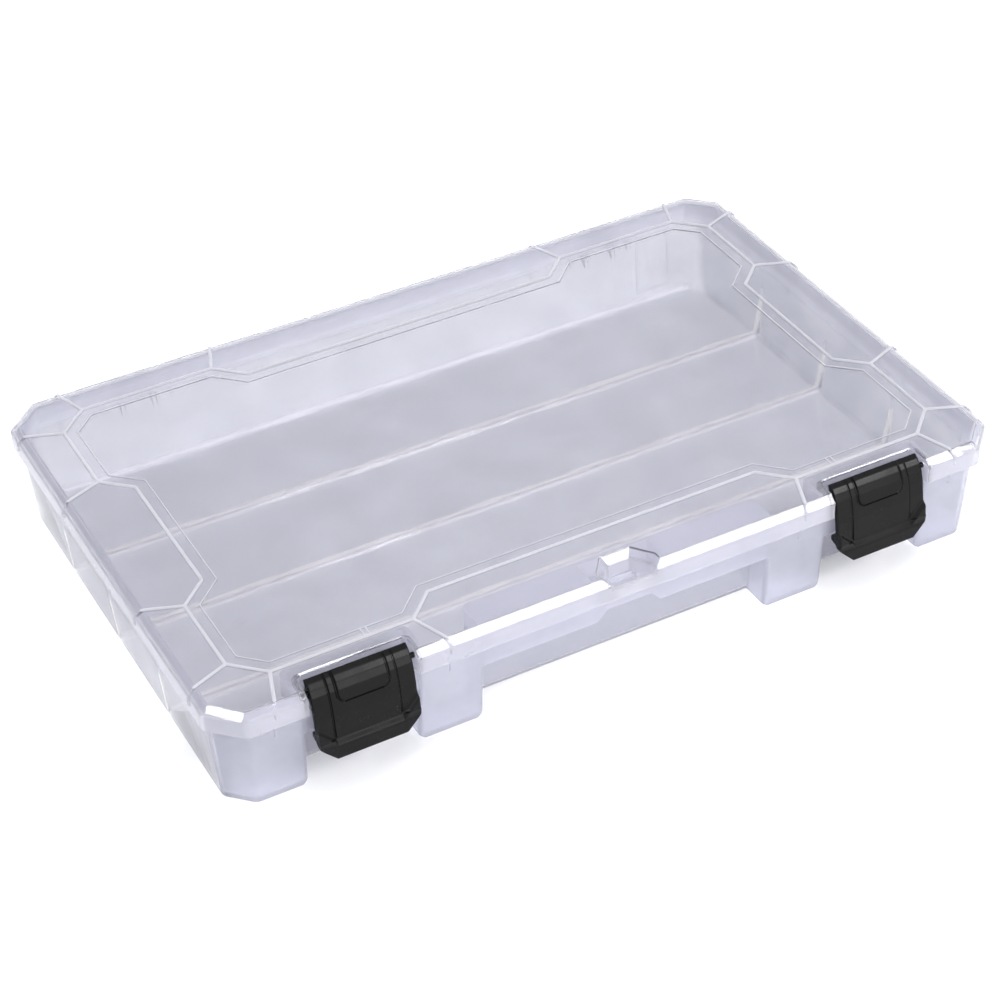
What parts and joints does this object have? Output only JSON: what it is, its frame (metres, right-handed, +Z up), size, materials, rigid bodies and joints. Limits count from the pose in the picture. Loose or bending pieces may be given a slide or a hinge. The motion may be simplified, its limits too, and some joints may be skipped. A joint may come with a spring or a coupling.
{
  "type": "fishing tackle box",
  "caption": "Flat see-through utility case with a raised-bead lid on a rear snap hinge, two black front latches and a padlock slot.",
  "frame": {"origin": "on the ground under the middle of the case, on the flat underside of the tray", "axes": "+X along the long side to the right seen from the front, +Y from the latches to the hinge, +Z up"},
  "size_m": [0.3568, 0.2407, 0.051],
  "materials": {
    "clear_tray": "translucent natural polypropylene, polished outside",
    "clear_lid": "translucent natural polypropylene, polished outside",
    "black_latch": "satin black"
  },
  "bodies": {
    "tray": {"tray": "clear_tray"},
    "lid": {"lid": "clear_lid"},
    "latch_left": {"latch_left": "black_latch"},
    "latch_right": {"latch_right": "black_latch"}
  },
  "joints": [
    {"name": "lid_hinge", "type": "hinge", "parent": "tray", "child": "lid", "pos_m": [0, 0.1185, 0.0372], "axis": [-1, 0, 0], "range_deg": [0, 180]},
    {"name": "latch_left_pivot", "type": "hinge", "parent": "lid", "child": "latch_left", "pos_m": [-0.1166, -0.1108, 0.0456], "axis": [-1, 0, 0], "range_deg": [0, 100]},
    {"name": "latch_right_pivot", "type": "hinge", "parent": "lid", "child": "latch_right", "pos_m": [0.1166, -0.1108, 0.0456], "axis": [-1, 0, 0], "range_deg": [0, 100]}
  ]
}
